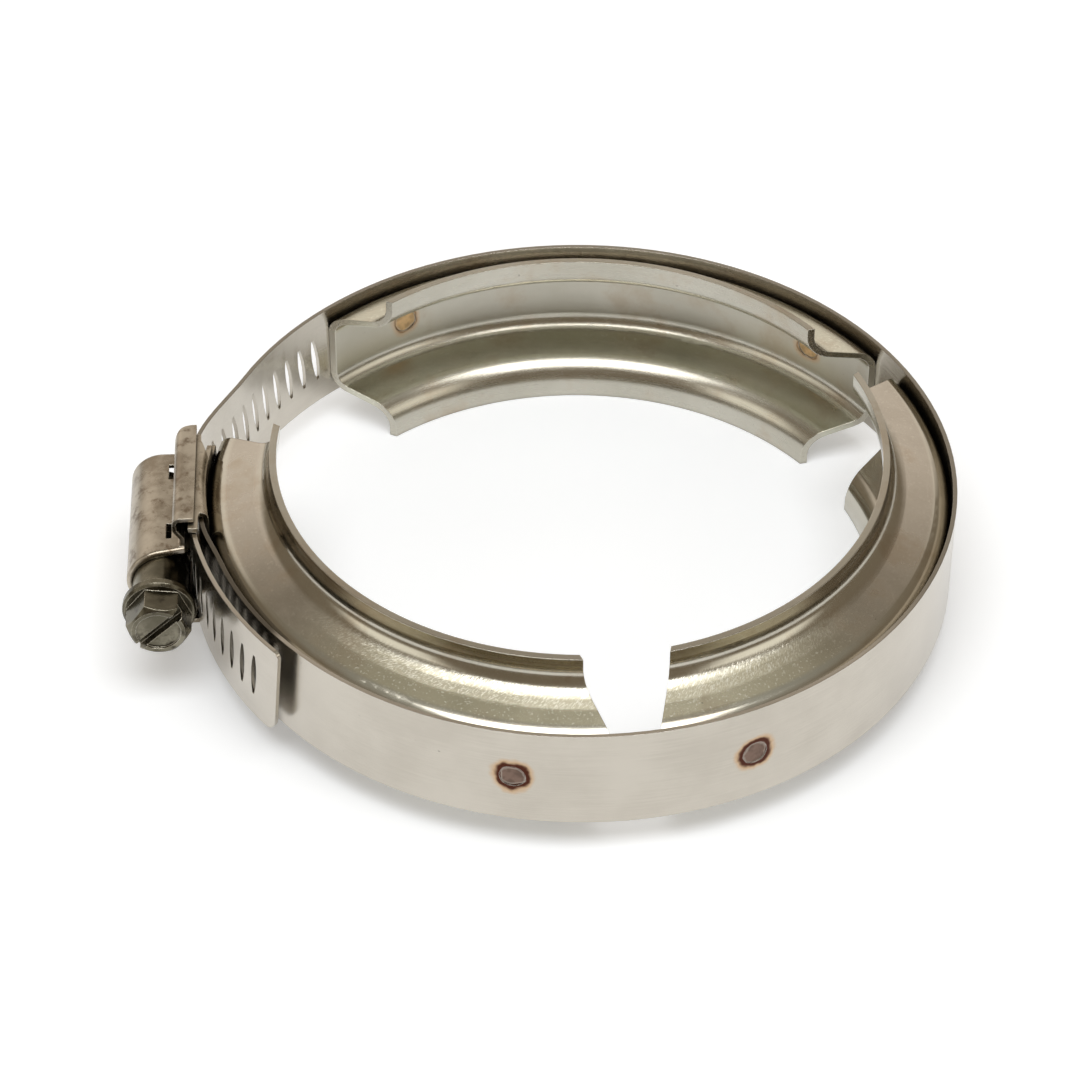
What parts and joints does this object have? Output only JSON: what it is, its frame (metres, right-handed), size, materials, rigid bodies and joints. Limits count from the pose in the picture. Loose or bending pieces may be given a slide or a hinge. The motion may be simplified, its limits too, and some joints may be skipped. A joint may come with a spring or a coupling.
{
  "type": "worm drive V-insert hose clamp",
  "caption": "Round steel band clamp with a worm screw housing and V-section inserts welded inside, for joining flanged pipe or hose ends.",
  "frame": {"origin": "on the ring's axis at the middle of the band's width", "axes": "+Z along the ring's axis, -X towards the screw housing, -Y the way the screw's head points"},
  "size_m": [0.1186, 0.1074, 0.0258],
  "materials": {
    "band": "bright cold-rolled strip",
    "v_segment_rear": "pressed strip, slightly dull",
    "v_segment_right": "pressed strip, slightly dull",
    "v_segment_left": "pressed strip, slightly dull",
    "saddle": "pressed strip, warm grey",
    "housing_shell": "pressed strip, warm grey",
    "worm_screw": "turned and rolled, dull"
  },
  "bodies": {
    "clamp": {"band": "band", "v_segment_rear": "v_segment_rear", "v_segment_right": "v_segment_right", "v_segment_left": "v_segment_left", "saddle": "saddle", "housing_shell": "housing_shell"},
    "screw": {"worm_screw": "worm_screw"}
  },
  "joints": [
    {"name": "screw_turn", "type": "hinge", "parent": "clamp", "child": "screw", "pos_m": [-0.05951, -0.00333, 0], "axis": [0.0558, -0.9984, 0], "continuous": true, "deforming": ["band"]}
  ]
}
